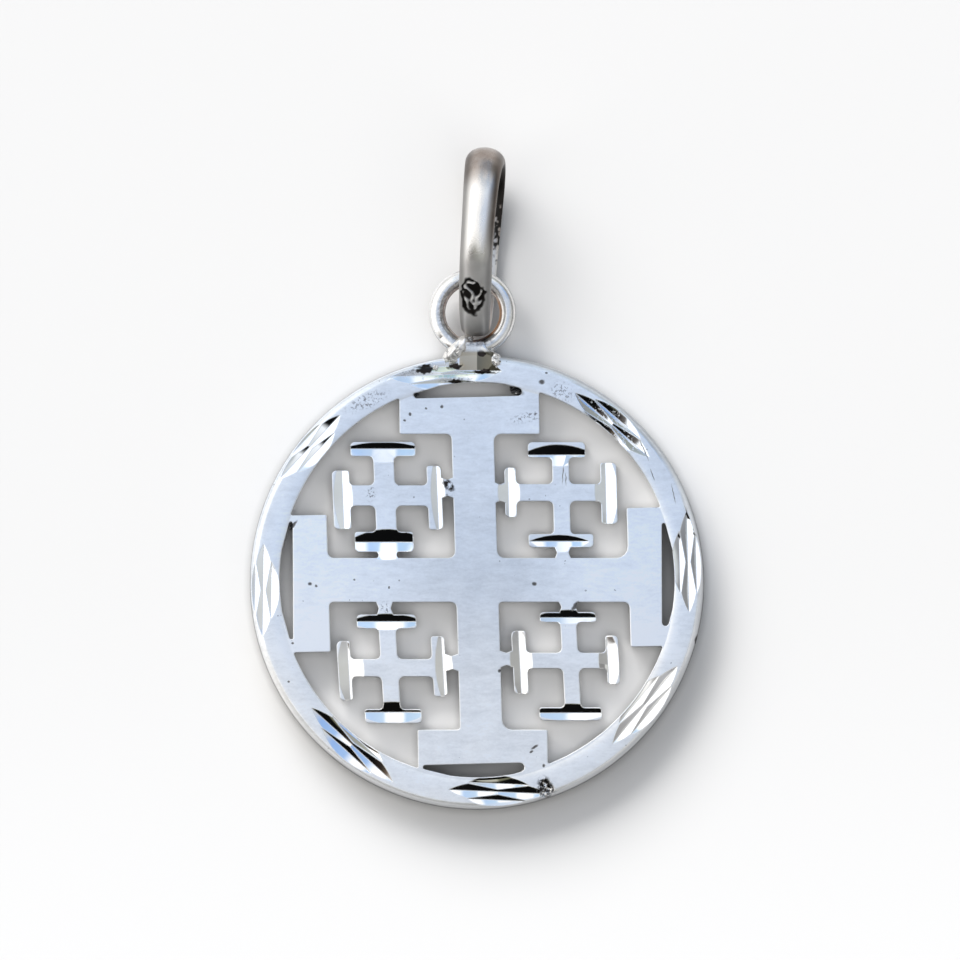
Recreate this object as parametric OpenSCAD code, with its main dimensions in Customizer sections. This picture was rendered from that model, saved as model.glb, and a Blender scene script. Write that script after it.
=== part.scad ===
// Round pierced pendant: one large potent cross, four small ones, an eye ring and a loose bail.
// The back of the disc lies on z = 0 with its centre at the origin, and +Y points to the bail.

/* [Disc] */
// Outside diameter of the disc, which the pierced pattern follows
disc_d = 20; // [18:0.5:24]
// Thickness of the disc and of all its crosses
plate_t = 1.5; // [1.4:0.05:1.6]
// Width of the outer band on a 20 mm disc
band_w = 1.3; // [1.3:0.05:1.4]
// How far the pierced opening sits above the middle of a 20 mm disc
band_shift = 0.12; // [0.08:0.02:0.16]
// Rounding of the band's outer front edge
front_round = 0.28; // [0.15:0.01:0.35]
// Rounding of the band's outer back edge
back_round = 0.15; // [0.1:0.01:0.2]

/* [Large cross] */
// Width of the upright on a 20 mm disc
upright_w = 1.86; // [1.7:0.02:2]
// Width of the level bar on a 20 mm disc
level_w = 1.94; // [1.7:0.02:2]
// Height of the level bar's middle above the disc's middle
level_shift = 0.11; // [0:0.01:0.15]
// Lean of the upright to the left, in degrees
cross_lean = 1.7; // [0:0.1:2]
// Rounding of the cross's own corners
tip_round = 0.07; // [0.04:0.01:0.1]

/* [Cuts] */
// Slope of a cut's two walls when they are equally wide, in degrees
cut_slope = 28; // [22:1:32]
// Width of one wall of a cut on the band of a 20 mm disc
band_wall = 0.37; // [0.3:0.01:0.4]
// Distance of the two side cuts from the middle of their group
band_side = 0.36; // [0.28:0.01:0.4]

/* [Eye ring] */
// Diameter of the hole in the eye ring
eye_hole = 2.4; // [2.3:0.05:2.5]
// Thickness of the eye ring's wire
eye_wire = 0.72; // [0.66:0.02:0.74]
// Offset of the eye ring from the disc's middle, towards the right
eye_x = -0.2; // [-0.3:0.05:0.1]
// Depth to which the eye ring is let into the disc's edge
eye_sink = 0.04; // [0.02:0.02:0.1]

/* [Bail] */
// Clearance between the bail's lower end and the eye ring
bail_gap = 0.18; // [0.16:0.02:0.24]
// Offset of the bail from the middle of the eye ring, towards the right
bail_x = 0.2; // [0:0.02:0.3]
// Turn of the bail to the right, in degrees
bail_turn = 4; // [0:0.5:5]
// Sideways lean of the bail's front leg to the left, in degrees
bail_lean = 4; // [0:0.5:7]
// Depth of the stamp place
stamp_depth = 0.12; // [0.05:0.01:0.15]

/* [Hidden] */

k = disc_d / 20;
disc_r = disc_d / 2;
opening_r = disc_r - k * band_w;
opening_mid = [0, k * band_shift];
wire_r = eye_wire / 2;
eye_r = eye_hole / 2 + wire_r;
eye_y = disc_r + eye_r + wire_r - eye_sink;
wire_z = 1.1;
through = 1;
arc_steps = 4;
window_steps = 20;
slot_steps = 14;
slot_skip = 4;
disc_fn = 180;
wheel_fn = 96;
wire_fn = 32;
foot_fn = 64;

// Tips of the large cross, counter-clockwise from the right. Columns: inner side, outer side,
// reach clockwise, reach counter-clockwise, and the roundings of the clockwise and
// counter-clockwise ends of the slot behind the tip.
T_IN = 0;
T_OUT = 1;
T_CW = 2;
T_CCW = 3;
L_SLOT_CW = 4;
L_SLOT_CCW = 5;
large_tips = [
    [6.69, 8.14, 2.83, 3.28, 0.15, 0.09],
    [6.54, 8.17, 2.95, 3.21, 0.18, 0.12],
    [6.54, 8.10, 2.98, 3.05, 0.09, 0.09],
    [6.49, 7.98, 2.81, 2.91, 0.09, 0.20]
];

// Rounded corners of the four windows, counter-clockwise from the upper right one. Columns: the
// corner in the crossing, the corner at the window's first tip, the corner at its second tip.
W_MID = 0;
W_FIRST = 1;
W_SECOND = 2;
window_rounds = [
    [0.34, 0.50, 0.30],
    [0.30, 0.24, 0.28],
    [0.26, 0.18, 0.15],
    [0.15, 0.45, 0.26]
];

// Small crosses. Columns: middle across, middle up, lean, stem width, arm width.
S_X = 0;
S_Y = 1;
S_LEAN = 2;
S_STEM = 3;
S_ARM = 4;
small_crosses = [
    [-4.05, 3.83, 2.5, 0.90, 0.90],
    [3.71, 3.96, 1.5, 0.73, 0.75],
    [-3.85, -3.76, 3.5, 0.74, 0.76],
    [4.11, -3.44, 3.2, 0.70, 0.68]
];

// Roundings of a small cross: beside a tip's member, at the tip's inner and outer corners, and in
// the crossing of its members
member_round = 0.2;
inner_round = 0.11;
outer_round = 0.19;
crossing_round = 0.24;

// Stubs: widening at both ends, depth at which it is reached inside their neighbours, depth at which
// they end there, rounding at the waist
stub_flare = 0.12;
stub_lap = 0.05;
stub_sunk = 0.25;
stub_round = 0.12;

// Tips of each small cross, counter-clockwise from the right. The first four columns are those of
// the large cross. The others: the cut's distance from the middle, the width of its outer and inner
// walls, its half length, its offset clockwise, and the width and the clockwise offset of the stub
// that joins the tip to the large cross.
T_CUT = 4;
T_OUTWALL = 5;
T_INWALL = 6;
T_RUN = 7;
T_SIDE = 8;
T_STUB = 9;
T_STUBSIDE = 10;
small_tips = [
    [
        [1.88, 2.51, 1.50, 1.31, 2.31, 0.34, 0.30, 1.90, 0, 0.70, -0.34],
        [1.73, 2.36, 1.42, 1.43, 2.06, 0.30, 0.62, 1.85, 0, 0, 0],
        [1.54, 2.30, 1.10, 1.47, 1.85, 0.42, 0.42, 1.90, -0.1, 0, 0],
        [1.60, 2.48, 1.41, 1.16, 2.05, 0.80, 0.58, 1.80, 0, 0.75, 0]
    ],
    [
        [1.75, 2.45, 1.37, 1.31, 1.97, 0.52, 0.50, 1.90, 0, 0, 0],
        [1.55, 2.22, 1.10, 1.42, 1.65, 0.48, 0.50, 1.70, -0.1, 0, 0],
        [1.98, 2.48, 1.10, 1.08, 2.32, 0.48, 0.50, 1.50, 0, 0.70, 0],
        [1.83, 2.41, 1.49, 1.36, 2.14, 0.50, 0.28, 1.35, 0.15, 0.50, 0]
    ],
    [
        [1.89, 2.49, 1.25, 1.39, 2.36, 0.42, 0.35, 1.80, 0, 0.56, -0.23],
        [1.74, 2.35, 1.30, 1.32, 2.04, 0.36, 0.38, 1.75, 0, 0.52, -0.05],
        [1.69, 2.27, 1.18, 1.42, 1.79, 0.52, 0.66, 1.85, -0.1, 0, 0],
        [1.82, 2.43, 1.21, 1.28, 1.95, 0.52, 0.47, 1.70, 0, 0, 0]
    ],
    [
        [1.59, 2.14, 1.03, 1.10, 1.66, 0.52, 0.42, 1.50, 0, 0, 0],
        [1.70, 2.14, 1.24, 1.24, 1.89, 0.36, 0.27, 1.60, 0, 0.62, 0.05],
        [1.91, 2.54, 1.31, 1.46, 2.22, 0.44, 0.55, 1.85, 0, 0.53, 0.07],
        [2.06, 2.63, 1.49, 1.25, 2.30, 0.36, 0.42, 1.85, 0.1, 0, 0]
    ]
];

// Groups of cuts on the band. Columns: place round the disc, distance from its middle, direction of
// the cuts, length of the group.
G_AT = 0;
G_R = 1;
G_RUN = 2;
G_LEN = 3;
cut_groups = [
    [99.3, 9.26, 2.0, 4.9],
    [49.4, 9.13, -40.8, 4.4],
    [5.6, 9.33, 91.4, 4.5],
    [-36.1, 9.15, 50.1, 4.5],
    [-84.3, 9.26, -2.5, 4.4],
    [-127.6, 9.02, -42.4, 4.9],
    [182.0, 9.42, 89.5, 4.1],
    [140.9, 9.47, 46.6, 3.9]
];

// The four cuts of a group. Columns: place along the group as a share of its length, place across
// it as a share of band_side.
group_cuts = [[-0.19, 0], [0.19, 0], [0, -1], [0, 1]];
// Length of one cut as a share of the group's length
cut_share = 0.62;
// How far a cutting wheel reaches past the surface, as a share of the wall's width
wheel_reach = 1.3;

// Outline of the solder foot. Columns: across, distance outside the disc's edge, rounding.
foot_rows = [
    [-1.25, -0.40, 0.10],
    [1.35, -0.40, 0.10],
    [1.30, -0.08, 0.05],
    [0.62, 0.30, 0.30],
    [0.50, 0.62, 0.10],
    [-0.50, 0.62, 0.10],
    [-0.66, 0.28, 0.30],
    [-1.30, -0.06, 0.05]
];
foot_low = 0.3;
foot_dome = 1.66;
foot_dome_z = 0.15;

// The cut that trims the solder foot: place across, distance inside the disc's edge, half length,
// widths of the outer and inner walls, and the reach of its outer wall
F_X = 0;
F_IN = 1;
F_RUN = 2;
F_OUTWALL = 3;
F_INWALL = 4;
F_REACH = 5;
foot_cut = [-0.1, 0.7, 1.2, 0.62, 0.3, 2.4];

// Casting pits in the band. Columns: across, up, radius.
pits = [
    [3.02, -8.85, 0.20],
    [3.14, -9.10, 0.26],
    [2.95, -9.28, 0.20]
];
pit_fn = 24;

// Loop of the bail from its lower end along the rear leg, round the top and back down the front leg.
// Columns: distance from the lower end, height, width, thickness.
B_ALONG = 0;
B_UP = 1;
B_WIDE = 2;
B_THICK = 3;
bail_rows = [
    [0.30, 1.25, 1.24, 0.54],
    [0.80, 0.60, 1.30, 0.50],
    [1.90, 0.32, 1.34, 0.48],
    [3.40, 0.32, 1.38, 0.50],
    [5.10, 0.38, 1.50, 0.56],
    [6.75, 0.76, 1.64, 0.66],
    [7.60, 1.80, 1.70, 0.94],
    [7.56, 3.05, 1.68, 0.96],
    [6.70, 3.96, 1.56, 0.72],
    [5.10, 4.24, 1.46, 0.64],
    [3.40, 3.95, 1.44, 0.62],
    [1.90, 3.10, 1.42, 0.60],
    [0.80, 2.18, 1.34, 0.56]
];
bail_stations = 78;
bail_sides = 16;
crown_share = 0.62;
// Height at which the bail stands clear of the ground
bail_lift = 0.02;
// Stamp place on the front leg: station on the loop, half length in stations, share of the width,
// and steepness of its edge
stamp_at = 11.15;
stamp_half = 0.62;
stamp_share = 0.8;
stamp_edge = 2.5;

function unit(v) = v / norm(v);
function turned(p, a) = [p.x * cos(a) - p.y * sin(a), p.x * sin(a) + p.y * cos(a)];
function leaned(p, a) = [p.x - p.y * tan(a), p.y];
function on_opening(p) = opening_mid + opening_r * unit(p - opening_mid);
function bearing(p) = atan2(p.y, p.x);

// Points on the short arc from s to e about c
function arc_between(c, s, e, n) =
    let (from = bearing(s - c), swing = (bearing(e - c) - from + 540) % 360 - 180)
    [for (i = [0 : n]) c + norm(s - c) * [cos(from + swing * i / n), sin(from + swing * i / n)]];

// Corner p between points a and b, rounded to radius r
function rounded(a, p, b, r) =
    let (u = unit(a - p), v = unit(b - p), half = acos(u * v) / 2, reach = r / tan(half))
    arc_between(p + unit(u + v) * r / sin(half), p + u * reach, p + v * reach, arc_steps);

// Closed outline whose rows are [point, radius]
function outline(rows) =
    let (n = len(rows))
    [for (i = [0 : n - 1])
        each rows[i][1] == 0
            ? [rows[i][0]]
            : rounded(rows[(i + n - 1) % n][0], rows[i][0], rows[(i + 1) % n][0], rows[i][1])];

// Where the edge of the opening is, in the frame of the tip at 90 * q degrees: how far out at a
// place y across, and how far to either side at a distance x
function opening_at(q) = turned(opening_mid, -90 * q) / k;
function half_chord(d) = sqrt(pow(opening_r / k, 2) - d * d);
function edge_out(q, y) = opening_at(q).x + half_chord(y - opening_at(q).y);
function edge_side(q, x, side) = opening_at(q).y + side * half_chord(x - opening_at(q).x);

// Quarter window between the tip at 90 * q degrees and the next one
function window_rows(q) =
    let (a = large_tips[q], b = large_tips[(q + 1) % 4], r = k * window_rounds[q],
        level_top = level_w / 2 + level_shift, level_low = level_w / 2 - level_shift,
        sides = [[upright_w / 2, level_top], [level_top, upright_w / 2], [upright_w / 2, level_low],
            [level_low, upright_w / 2]],
        near = sides[q],
        place = function (p) k * leaned(turned(p, 90 * q), cross_lean),
        from = on_opening(place([edge_out(q, a[T_CCW]), a[T_CCW]])),
        to = on_opening(place([b[T_CW], edge_side(q, b[T_CW], 1)])),
        ring = arc_between(opening_mid, from, to, window_steps))
    concat(
        [[place(near), r[W_MID]],
         [place([a[T_IN], near.y]), r[W_FIRST]],
         [place([a[T_IN], a[T_CCW]]), k * tip_round],
         [from, k * tip_round]],
        [for (i = [1 : window_steps - 1]) [ring[i], 0]],
        [[to, k * tip_round],
         [place([b[T_CW], b[T_IN]]), k * tip_round],
         [place([near.x, b[T_IN]]), r[W_SECOND]]]);

// Crescent slot between the band and the tip at 90 * q degrees
function slot_rows(q) =
    let (x = large_tips[q][T_OUT],
        from = on_opening(k * leaned(turned([x, edge_side(q, x, -1)], 90 * q), cross_lean)),
        to = on_opening(k * leaned(turned([x, edge_side(q, x, 1)], 90 * q), cross_lean)),
        ring = arc_between(opening_mid, from, to, slot_steps))
    concat(
        [[from, k * large_tips[q][L_SLOT_CW]]],
        [for (i = [slot_skip : slot_steps - slot_skip]) [ring[i], 0]],
        [[to, k * large_tips[q][L_SLOT_CCW]]]);

// Half widths of the small cross's members on either side of the tip at 90 * q degrees
function stem_half(c, q) = (q % 2 == 0 ? c[S_ARM] : c[S_STEM]) / 2;

function small_rows(i) =
    let (c = small_crosses[i])
    [for (q = [0 : 3])
        let (t = small_tips[i][q], h = stem_half(c, q), g = stem_half(c, q + 1),
            place = function (p) k * (leaned(turned(p, 90 * q - 90), c[S_LEAN]) + [c[S_X], c[S_Y]]))
        each [
            [place([h, t[T_IN]]), k * member_round],
            [place([t[T_CW], t[T_IN]]), k * inner_round],
            [place([t[T_CW], t[T_OUT]]), k * outer_round],
            [place([-t[T_CCW], t[T_OUT]]), k * outer_round],
            [place([-t[T_CCW], t[T_IN]]), k * inner_round],
            [place([-h, t[T_IN]]), k * member_round],
            [place([-h, g]), k * crossing_round]
        ]];

// Distance from the middle of small cross i to the large cross, towards its tip at 90 * q degrees
function large_edge(c, q) =
    q % 2 == 0
        ? abs(c[S_X] + c[S_Y] * tan(cross_lean)) - upright_w / 2
        : abs(c[S_Y] - level_shift) - level_w / 2;

// Stub from a tip to the large cross, a little wider at both ends
function stub_rows(i, q) =
    let (c = small_crosses[i], t = small_tips[i][q], w = t[T_STUB] / 2, m = t[T_STUBSIDE],
        tip = t[T_OUT], edge = large_edge(c, q), waist = (tip + edge) / 2, end = w + stub_flare,
        place = function (p) k * (leaned(turned(p, 90 * q - 90), c[S_LEAN]) + [c[S_X], c[S_Y]]),
        side = function (d) [
            [place([m + d * end, tip - stub_sunk]), 0],
            [place([m + d * end, tip - stub_lap]), 0],
            [place([m + d * w, waist]), k * stub_round],
            [place([m + d * end, edge + stub_lap]), 0],
            [place([m + d * end, edge + stub_sunk]), 0]],
        left = side(-1), right = side(1))
    concat(left, [for (j = [4 : -1 : 0]) right[j]]);

// V cut by a wheel, with its bottom line along X. The wall on the +Y side is wall_a wide and the
// other wall_b.
module wheel_cut(run, wall_a, wall_b, reach_a = wheel_reach) {
    depth = tan(cut_slope) * sqrt(wall_a * wall_b);
    wheel_r = (run * run + depth * depth) / (2 * depth);
    translate([0, 0, plate_t - depth + wheel_r]) {
        rotate([-90, 0, 0])
            cylinder(h = wall_a * reach_a, r1 = wheel_r, r2 = wheel_r - depth * reach_a,
                $fn = wheel_fn);
        rotate([90, 0, 0])
            cylinder(h = wall_b * wheel_reach, r1 = wheel_r, r2 = wheel_r - depth * wheel_reach,
                $fn = wheel_fn);
    }
}

module tip_cut(i, q) {
    c = small_crosses[i];
    t = small_tips[i][q];
    turn = q % 2 == 0 ? 90 * q - 90 + c[S_LEAN] : 90 * q - 90;
    at = k * (leaned(turned([t[T_SIDE], t[T_CUT]], 90 * q - 90), c[S_LEAN]) + [c[S_X], c[S_Y]]);
    translate([at.x, at.y, 0])
        rotate([0, 0, turn])
            wheel_cut(k * t[T_RUN], k * t[T_OUTWALL], k * t[T_INWALL]);
}

module cut_group(g) {
    translate(k * [g[G_R] * cos(g[G_AT]), g[G_R] * sin(g[G_AT]), 0])
        rotate([0, 0, g[G_RUN]])
            for (c = group_cuts)
                translate([k * g[G_LEN] * c[0], k * band_side * c[1], 0])
                    wheel_cut(k * g[G_LEN] * cut_share / 2, k * band_wall, k * band_wall);
}

module plate() {
    back = disc_r - back_round;
    front = disc_r - front_round;
    shoulder = plate_t - front_round;
    difference() {
        rotate_extrude($fn = disc_fn)
            polygon(concat(
                [[0, 0]],
                arc_between([back, back_round], [back, 0], [disc_r, back_round], arc_steps),
                arc_between([front, shoulder], [disc_r, shoulder], [front, plate_t], arc_steps),
                [[0, plate_t]]));
        for (q = [0 : 3])
            translate([0, 0, -through])
                linear_extrude(plate_t + 2 * through) {
                    polygon(outline(window_rows(q)));
                    polygon(outline(slot_rows(q)));
                }
    }
}

module small_cross(i) {
    linear_extrude(plate_t) polygon(outline(small_rows(i)));
    for (q = [0 : 3])
        if (small_tips[i][q][T_STUB] > 0)
            linear_extrude(plate_t) polygon(outline(stub_rows(i, q)));
}

module eye_ring() {
    translate([eye_x, eye_y, wire_z])
        rotate_extrude($fn = wheel_fn)
            translate([eye_r, 0]) circle(r = wire_r, $fn = wire_fn);
}

// Solder foot: a low dome that joins the eye ring to the disc's edge
module solder_foot() {
    intersection() {
        translate([eye_x, disc_r, foot_low])
            linear_extrude(foot_dome + foot_dome_z)
                polygon(outline([for (f = foot_rows) [[f[0], f[1]], f[2]]]));
        translate([eye_x, disc_r, foot_dome_z]) sphere(r = foot_dome, $fn = foot_fn);
    }
}

module medallion() {
    color("silver")
        difference() {
            union() {
                plate();
                for (i = [0 : 3]) small_cross(i);
                eye_ring();
                solder_foot();
            }
            for (i = [0 : 3], q = [0 : 3]) tip_cut(i, q);
            for (g = cut_groups) cut_group(g);
            translate([foot_cut[F_X], disc_r - foot_cut[F_IN], 0])
                wheel_cut(foot_cut[F_RUN], foot_cut[F_OUTWALL], foot_cut[F_INWALL], foot_cut[F_REACH]);
            for (p = pits) translate([k * p.x, k * p.y, plate_t]) sphere(r = p.z, $fn = pit_fn);
        }
}

// Smooth closed curve through the rows of a table, at station s
function blend4(a, b, c, d, t) =
    let (bend = 2 * a - 5 * b + 4 * c - d, twist = 3 * b - a - 3 * c + d)
    (2 * b + (c - a) * t + bend * t * t + twist * t * t * t) / 2;
function loop_at(rows, s) =
    let (n = len(rows), i = floor(s), t = s - i)
    blend4(rows[(i + n - 1) % n], rows[i % n], rows[(i + 1) % n], rows[(i + 2) % n], t);

// How deep the stamp place is at station s and at share v of the width
function stamp_sink(s, v) =
    let (r = pow((s - stamp_at) / stamp_half, 2) + pow(v / stamp_share, 2))
    r < 1 ? stamp_depth * min(1, stamp_edge * (1 - r)) : 0;

// One section of the bail: half round outside, flatter inside
function bail_section(s) =
    let (n = len(bail_rows), row = loop_at(bail_rows, s), step = 0.02,
        ahead = loop_at(bail_rows, s + step) - loop_at(bail_rows, s + n - step),
        t = unit([ahead[B_ALONG], ahead[B_UP]]), out = [t.y, -t.x])
    [for (j = [0 : bail_sides - 1])
        let (a = 360 * j / bail_sides, v = cos(a),
            lift = a <= 180
                ? crown_share * row[B_THICK] * sin(a) - stamp_sink(s, v)
                : (1 - crown_share) * row[B_THICK] * sin(a))
        [row[B_WIDE] / 2 * v, row[B_ALONG] + out.x * lift, row[B_UP] + out.y * lift]];

module bail() {
    n = bail_stations;
    m = bail_sides;
    points = [for (i = [0 : n - 1]) each bail_section(len(bail_rows) * i / n)];
    faces = [for (i = [0 : n - 1], j = [0 : m - 1])
        let (here = i * m, next = (i + 1) % n * m, side = (j + 1) % m)
        each [[here + j, next + side, here + side], [here + j, next + j, next + side]]];
    color("gainsboro")
        translate([eye_x + bail_x, eye_y - eye_hole / 2 + bail_gap, bail_lift])
            rotate([0, 0, -bail_turn])
                rotate([0, -bail_lean, 0])
                    polyhedron(points, faces);
}

medallion();
bail();
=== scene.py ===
# Jerusalem cross pendant lying face up on a pale floor. Metres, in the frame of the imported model.
import bmesh, bpy, math
from types import SimpleNamespace
from mathutils import Matrix, Vector, noise


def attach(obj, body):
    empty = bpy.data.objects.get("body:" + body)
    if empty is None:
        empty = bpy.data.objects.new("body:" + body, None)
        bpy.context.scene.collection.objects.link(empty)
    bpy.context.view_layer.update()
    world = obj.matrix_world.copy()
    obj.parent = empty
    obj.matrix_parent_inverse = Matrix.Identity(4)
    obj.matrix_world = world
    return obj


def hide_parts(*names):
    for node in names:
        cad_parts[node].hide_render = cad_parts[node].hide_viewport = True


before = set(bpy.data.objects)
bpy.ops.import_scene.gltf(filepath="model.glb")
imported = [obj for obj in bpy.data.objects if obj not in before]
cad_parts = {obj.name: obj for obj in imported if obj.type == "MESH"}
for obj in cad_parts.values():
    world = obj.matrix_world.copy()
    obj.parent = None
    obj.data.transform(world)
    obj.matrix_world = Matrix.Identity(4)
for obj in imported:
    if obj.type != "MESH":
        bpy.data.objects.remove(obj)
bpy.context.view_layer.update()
mm = 0.001
print("frame loaded:", ", ".join(sorted(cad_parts)))


# shader maths
class Wire:  # one output socket, with arithmetic
    def __init__(self, graph, socket):
        self.graph, self.socket = graph, socket

    def also(self, name):  # another output of the same node
        return Wire(self.graph, self.socket.node.outputs[name])

    def maths(self, operation, *values):
        return self.graph.node("ShaderNodeMath", {"operation": operation}, dict(enumerate(values)))

    def __add__(self, other):
        return self.maths("ADD", self, other)

    def __sub__(self, other):
        return self.maths("SUBTRACT", self, other)

    def __rsub__(self, other):
        return self.maths("SUBTRACT", other, self)

    def __mul__(self, other):
        return self.maths("MULTIPLY", self, other)

    def __truediv__(self, other):
        return self.maths("DIVIDE", self, other)

    __radd__, __rmul__ = __add__, __mul__

    def atLeast(self, other):
        return self.maths("MAXIMUM", self, other)

    def atMost(self, other):
        return self.maths("MINIMUM", self, other)

    def size(self):
        return self.maths("ABSOLUTE", self)

    def root(self):
        return self.maths("SQRT", self)

    def sizeRaised(self, power):  # the size without its sign, to a power
        return self.maths("POWER", self.size(), power)

    def ramp(self, low, high):  # 0 up to low, 1 from high, smooth between
        return self.graph.node("ShaderNodeMapRange", {"interpolation_type": "SMOOTHSTEP"},
                               {"Value": self, "From Min": low, "From Max": high})


class Graph:  # the nodes of one material or of the world
    def __init__(self, owner):
        owner.use_nodes = True
        self.tree = owner.node_tree
        self.tree.nodes.clear()

    def node(self, kind, settings=None, inputs=None, output=0):
        made = self.tree.nodes.new(kind)
        for name, value in (settings or {}).items():
            if name == "stops":
                fillRamp(made.color_ramp, value)
            else:
                setattr(made, name, value)
        for key, value in (inputs or {}).items():
            if isinstance(value, Wire):
                self.tree.links.new(value.socket, made.inputs[key])
            else:
                made.inputs[key].default_value = value
        return Wire(self, made.outputs[output]) if len(made.outputs) else None

    def mix(self, factor, first, second):  # colours
        return self.node("ShaderNodeMix", {"data_type": "RGBA"}, {0: factor, 6: first, 7: second}, 2)

    def vector(self, operation, first, second, output=0):
        return self.node("ShaderNodeVectorMath", {"operation": operation}, {0: first, 1: second}, output)

    def scaled(self, colour, factor):
        return self.node("ShaderNodeVectorMath", {"operation": "SCALE"}, {0: colour, "Scale": factor})

    def leaned(self, normal, push):  # a normal pushed sideways, at length 1 again
        return self.vector("NORMALIZE", self.vector("ADD", normal, push), (0, 0, 0))

    def grain(self, at, scale, detail=2, rough=0.5):
        return self.node("ShaderNodeTexNoise", None,
                         {"Vector": at, "Scale": scale, "Detail": detail, "Roughness": rough})

    def speckle(self, at, scale, low, high, detail=3, rough=0.7):  # grain cut to spots
        return self.grain(at, scale, detail, rough).ramp(low, high)

    def shaken(self, at, scale, much, rest=0.5):  # places moved by noise; at rest it moves nothing
        colour = self.node("ShaderNodeTexNoise", None, {"Vector": at, "Scale": scale}, "Color")
        moved = self.vector("ADD", at, self.scaled(colour, much))
        return self.vector("ADD", moved, (-rest * much,) * 3)

    def apart(self, at):  # x, y and z of a vector
        parts = self.node("ShaderNodeSeparateXYZ", None, {0: at})
        return parts, parts.also("Y"), parts.also("Z")

    def place(self):  # object coordinates in millimetres
        return self.vector("MULTIPLY", self.node("ShaderNodeTexCoord", output="Object"), (1 / mm,) * 3)

    def patch(self, at, row, height, soft):  # oval place: x, y, half length, half width, turn
        x, y, long, wide, turn = row
        local = self.node("ShaderNodeMapping", {"vector_type": "TEXTURE"},
                          {"Vector": at, "Location": (x, y, height),
                           "Rotation": (0, 0, math.radians(turn)), "Scale": (long, wide, 1)})
        return 1 - self.vector("LENGTH", local, (0, 0, 0), "Value").ramp(1 - soft, 1 + soft / 2)

    def patches(self, at, rows, height, soft):
        found = self.patch(at, rows[0], height, soft)
        for row in rows[1:]:
            found = found.atLeast(self.patch(at, row, height, soft))
        return found


def fillRamp(ramp, stops):
    while len(ramp.elements) < len(stops):
        ramp.elements.new(1)
    for element, (place, colour) in zip(ramp.elements, stops):
        element.position, element.color = place, colour


def tint(red, green, blue):  # screen colour, 0 to 255, as a shader colour
    return tuple((v / 12.92 if v < 0.04045 else ((v + 0.055) / 1.055) ** 2.4)
                 for v in (red / 255, green / 255, blue / 255)) + (1,)


def glow(level):
    return (level, level, level, 1)


def newMaterial(name, roughness, metallic=1.0):
    made = bpy.data.materials.new(name)
    graph = Graph(made)
    surface = graph.node("ShaderNodeBsdfPrincipled", None, {"Roughness": roughness, "Metallic": metallic})
    graph.node("ShaderNodeOutputMaterial", None, {"Surface": surface})
    return made, graph, surface.socket.node


def feed(graph, shader, name, value):
    graph.tree.links.new(value.socket, shader.inputs[name])


def addPiece(name, mesh, material, slot, *nodes):
    made = bpy.data.objects.new(name, mesh)
    bpy.context.scene.collection.objects.link(made)
    mesh.materials.append(material)
    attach(made, "root")
    if nodes:
        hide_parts(*nodes)
    return made


# camera, floor and light
view = {
    # mm, and clipEnd in metres
    "middle": (0.132, 4.516), "across": 42.254, "face": 1.5, "distance": 1200, "clipEnd": 20,
}
studio = {
    # overhead, then rings of what stands round the table by compass angle from +X, each lower than the last
    "zenith": (0.62, 0.71, 0.87, 1),
    "halo": [(0, tint(204, 210, 220)), (45, tint(218, 228, 246)), (90, tint(232, 242, 255)),
             (125, glow(1.05)), (190, glow(1.15)), (236, glow(1.1)), (258, tint(205, 208, 213)),
             (280, tint(192, 194, 199)), (315, tint(180, 183, 188))],
    "ceiling": [(0, tint(205, 208, 212)), (40, tint(185, 205, 232)), (80, tint(205, 222, 245)),
                (110, tint(225, 235, 250)), (135, glow(1.4)), (200, glow(1.4)), (222, tint(118, 118, 98)),
                (262, tint(118, 118, 98)), (266, tint(185, 185, 170)), (300, tint(190, 190, 180)),
                (330, tint(200, 202, 204))],
    "upper": [(0, tint(214, 216, 214)), (24, tint(212, 215, 218)), (33, tint(150, 185, 240)),
              (48, tint(165, 198, 245)), (58, glow(1.25)), (66, glow(1.25)), (72, tint(188, 216, 252)),
              (84, tint(200, 225, 252)), (88, glow(1.3)), (101, glow(1.3)), (105, tint(190, 220, 252)),
              (114, tint(200, 226, 252)), (120, glow(1.6)), (203, glow(1.6)), (207, tint(120, 114, 109)),
              (215, tint(52, 45, 41)), (224, glow(0.004)), (262, glow(0.004)), (300, glow(0.006)),
              (308, glow(1.1)), (334, tint(226, 228, 228))],
    "lower": [(0, tint(140, 140, 140)), (30, tint(150, 150, 150)), (56, tint(165, 168, 160)),
              (80, tint(196, 214, 236)), (104, tint(214, 226, 240)), (118, glow(1.2)), (205, glow(1.5)),
              (212, tint(120, 105, 90)), (218, glow(0.004)), (292, glow(0.004)), (304, tint(90, 85, 80)),
              (318, tint(185, 186, 190)), (342, tint(160, 160, 162))],
    # how high each blends into the next, as the upward part of the direction
    "upperFrom": (0.40, 0.56), "ceilingFrom": (0.70, 0.76), "haloFrom": (0.80, 0.88),
    "zenithFrom": (0.93, 0.985),
    # name, where it stands, power, width in degrees
    "screens": [("left", (-0.619, 0.619, 0.485), 1.3, 30), ("key", (-0.411, 0.772, 0.485), 2.15, 30),
                ("top", (-0.197, 0.852, 0.485), 1.9, 30), ("fill", (0.3, -0.4, 0.85), 0.42, 60)],
    # the floor, lighter near the front as painted light, and darker close under the metal as painted shade;
    # half its side in metres, then mm
    "floorHalf": 1.5, "paper": (0.575, 0.564, 0.551, 1), "paperNear": (0.605, 0.594, 0.581, 1),
    "paperBlend": (-20, 2), "paperRough": 0.95, "paperShine": 0.1,
    "cornerReach": 0.35, "cornerShade": 0.45, "cornerSamples": 8,
}


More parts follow.
